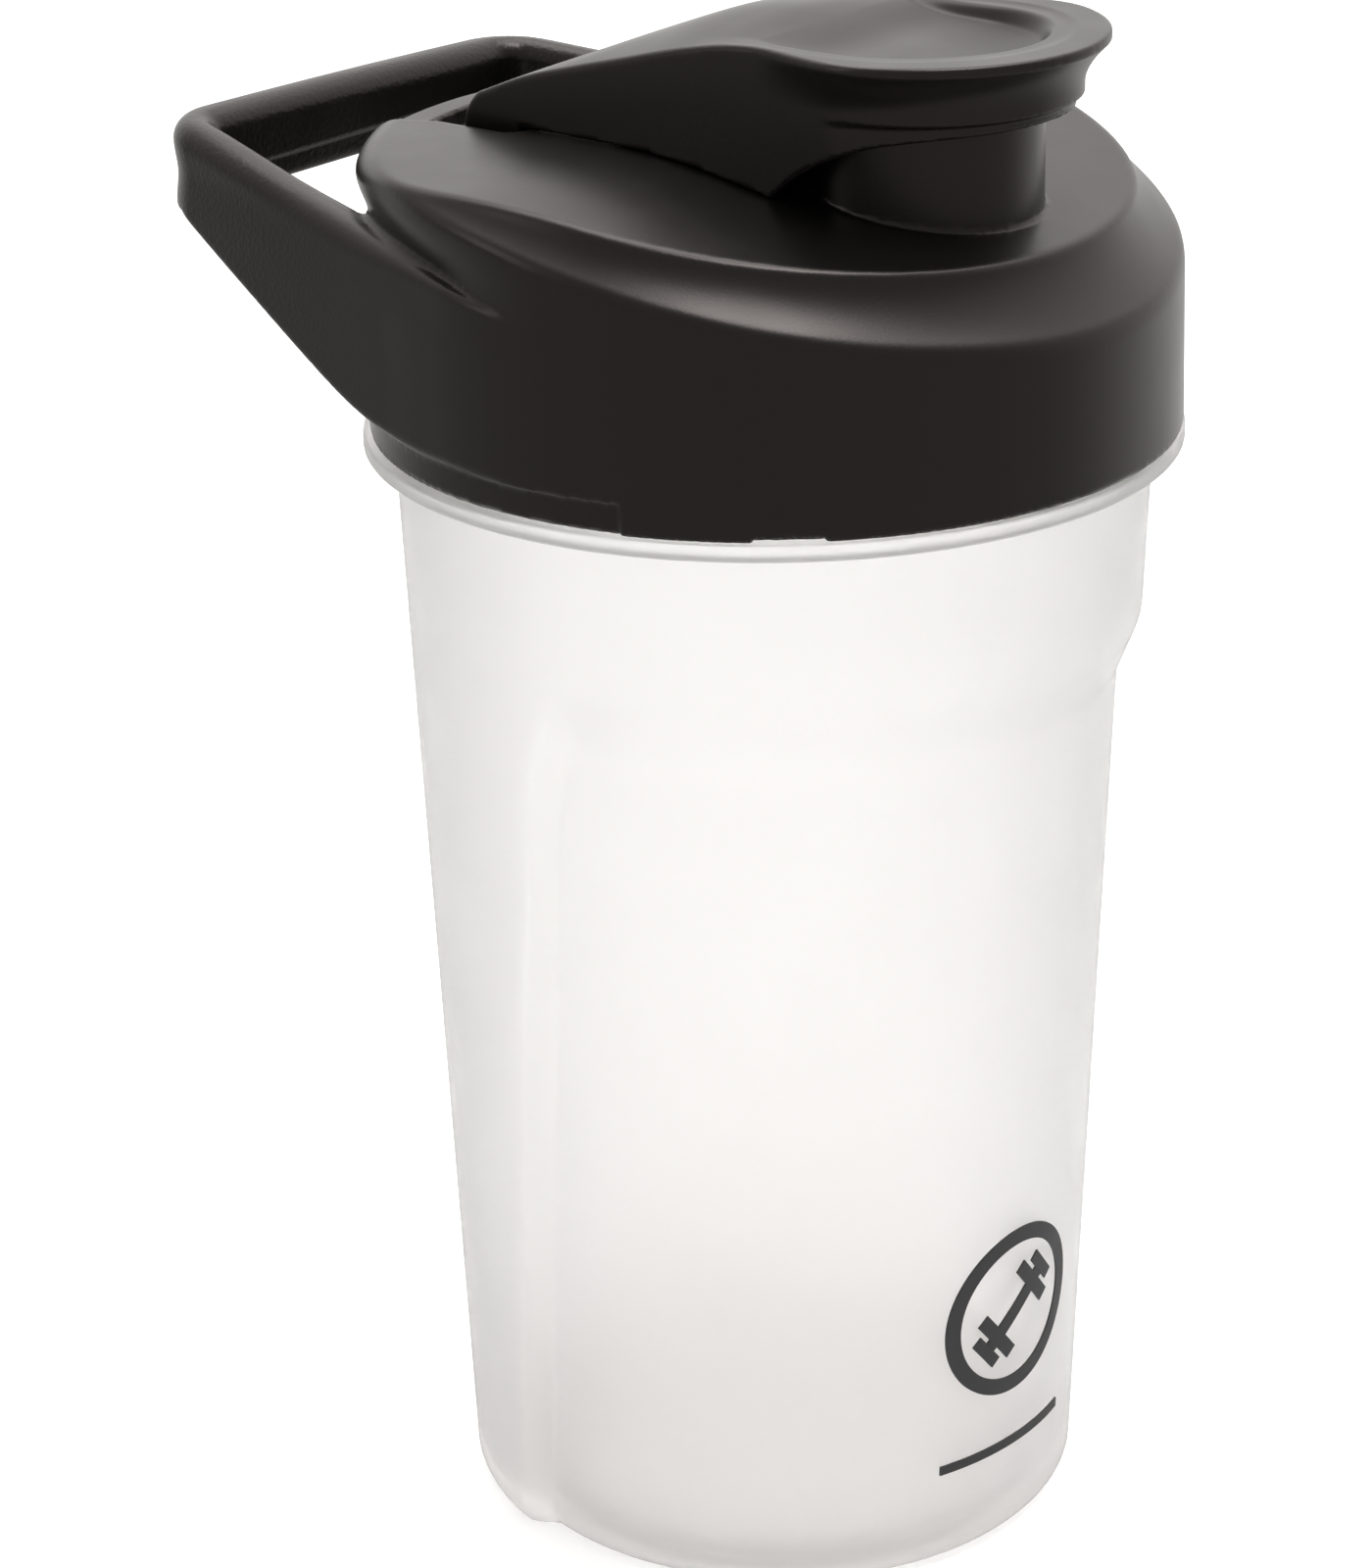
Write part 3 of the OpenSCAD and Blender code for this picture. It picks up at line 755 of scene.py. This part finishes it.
def simple_plastic(name, color, roughness, grain_scale, grain):
    """A moulded or printed finish with a light grain and an uneven gloss."""
    mat, tree, shader = new_material(name, color, roughness)
    uneven = ranged(tree, noise(tree, 120, 2), "Fac", 0.1, 0.9, roughness - 0.1, roughness + 0.1)
    link(tree, uneven, "Result", shader, "Roughness")
    link(tree, bump(tree, noise(tree, grain_scale), "Fac", grain, 0.4), "Normal", shader, "Normal")
    return mat


def paint(obj, mat):
    obj.data.materials.clear()
    obj.data.materials.append(mat)


# ---------------------------------------------------------------- stage and camera

CAMERA_AZIMUTH = math.radians(-53.0)
CAMERA_DISTANCE, CAMERA_HEIGHT = 0.529, 0.3136
CAMERA_LENS = 100.5
CAMERA_PITCH, CAMERA_YAW, CAMERA_ROLL = 0.3877, -0.0224, -0.0184
FLOOR_HALF = 4.0


def make_camera():
    """The photograph's view: above the bottle, between its spout and its side."""
    data = bpy.data.cameras.new("camera")
    camera = bpy.data.objects.new("camera", data)
    bpy.context.scene.collection.objects.link(camera)
    camera.location = (CAMERA_DISTANCE * math.cos(CAMERA_AZIMUTH),
                       CAMERA_DISTANCE * math.sin(CAMERA_AZIMUTH), CAMERA_HEIGHT)
    heading = CAMERA_AZIMUTH + math.pi - CAMERA_YAW
    level = math.cos(CAMERA_PITCH)
    forward = Vector((math.cos(heading) * level, math.sin(heading) * level, -math.sin(CAMERA_PITCH)))
    right = Vector((math.sin(heading), -math.cos(heading), 0))
    up = right.cross(forward)
    c, s = math.cos(CAMERA_ROLL), math.sin(CAMERA_ROLL)
    columns = Matrix((c * right + s * up, c * up - s * right, -forward)).transposed()
    camera.rotation_mode = "QUATERNION"
    camera.rotation_quaternion = columns.to_quaternion()
    data.sensor_fit = "AUTO"
    data.sensor_width = 36
    data.lens = CAMERA_LENS
    data.clip_start, data.clip_end = 0.01, 20
    bpy.context.scene.camera = camera


def make_floor():
    """A white floor that glows a little, so that it stays white up to the edge of the view."""
    mesh = bpy.data.meshes.new("floor")
    half = FLOOR_HALF
    corners = [(-half, -half, 0), (half, -half, 0), (half, half, 0), (-half, half, 0)]
    mesh.from_pydata(corners, [], [(0, 1, 2, 3)])
    floor = bpy.data.objects.new("floor", mesh)
    bpy.context.scene.collection.objects.link(floor)
    mat, tree, shader = new_material("floor", (0.93, 0.925, 0.92), 0.8)
    shader.inputs["Specular IOR Level"].default_value = 0.1
    shader.inputs["Emission Color"].default_value = (1, 1, 1, 1)
    shader.inputs["Emission Strength"].default_value = 0.5
    paint(floor, mat)
    floor.visible_glossy = False


def area_light(name, place, target, size, power):
    """A rectangular light that looks at a target."""
    data = bpy.data.lights.new(name, "AREA")
    data.shape = "RECTANGLE"
    data.size, data.size_y = size
    data.energy = power
    light = bpy.data.objects.new(name, data)
    light.location = place
    light.rotation_mode = "QUATERNION"
    light.rotation_quaternion = (Vector(target) - Vector(place)).to_track_quat("-Z", "Y")
    bpy.context.scene.collection.objects.link(light)


def make_lights():
    """A bright overhead and rear, and a dim camera side, as in a white studio cove."""
    world = bpy.data.worlds.new("world")
    bpy.context.scene.world = world
    world.use_nodes = True
    tree = world.node_tree
    back = tree.nodes["Background"]
    where = tree.nodes.new("ShaderNodeTexCoord")
    facing = tree.nodes.new("ShaderNodeVectorMath")
    facing.operation = "DOT_PRODUCT"
    facing.inputs[1].default_value = (-0.38, 0.83, 0.40)
    link(tree, where, "Generated", facing, 0)
    glow = ranged(tree, facing, "Value", 0.05, 0.97, 0.33, 1.2)
    link(tree, glow, "Result", back, "Strength")
    back.inputs["Color"].default_value = (1, 0.985, 0.965, 1)
    area_light("overhead", (-0.1, 0.38, 1.2), (-0.1, 0.38, 0), (1.2, 0.8), 6)
    area_light("top_key", (0.25, 0, 1.3), (0, 0, 0.15), (0.5, 0.4), 3.5)
    area_light("front_left", (-0.7, -0.9, 0.75), (0, 0, 0.12), (0.35, 0.9), 1.0)
    bpy.context.scene.view_settings.view_transform = "Standard"


make_camera()
make_floor()
make_lights()

paint(make_lid(), black_plastic("black_plastic_grained", True))
paint(make_cap(), black_plastic("black_plastic", False))
paint(make_cup(), clear_plastic())
for node, material, color, roughness, grain_scale, grain in (
        ("printed_mark", "ink", INK_COLOR, 0.5, 900, 0.00002),
        ("lid_gasket", "silicone", SILICONE_COLOR, 0.55, 700, 0.00003),
        ("spout_seal", "silicone_plug", SILICONE_COLOR, 0.55, 700, 0.00003),
        ("mixing_grid", "grid_plastic", GRID_COLOR, 0.4, 500, 0.00003)):
    paint(frame["nodes"][node], simple_plastic(material, color, roughness, grain_scale, grain))
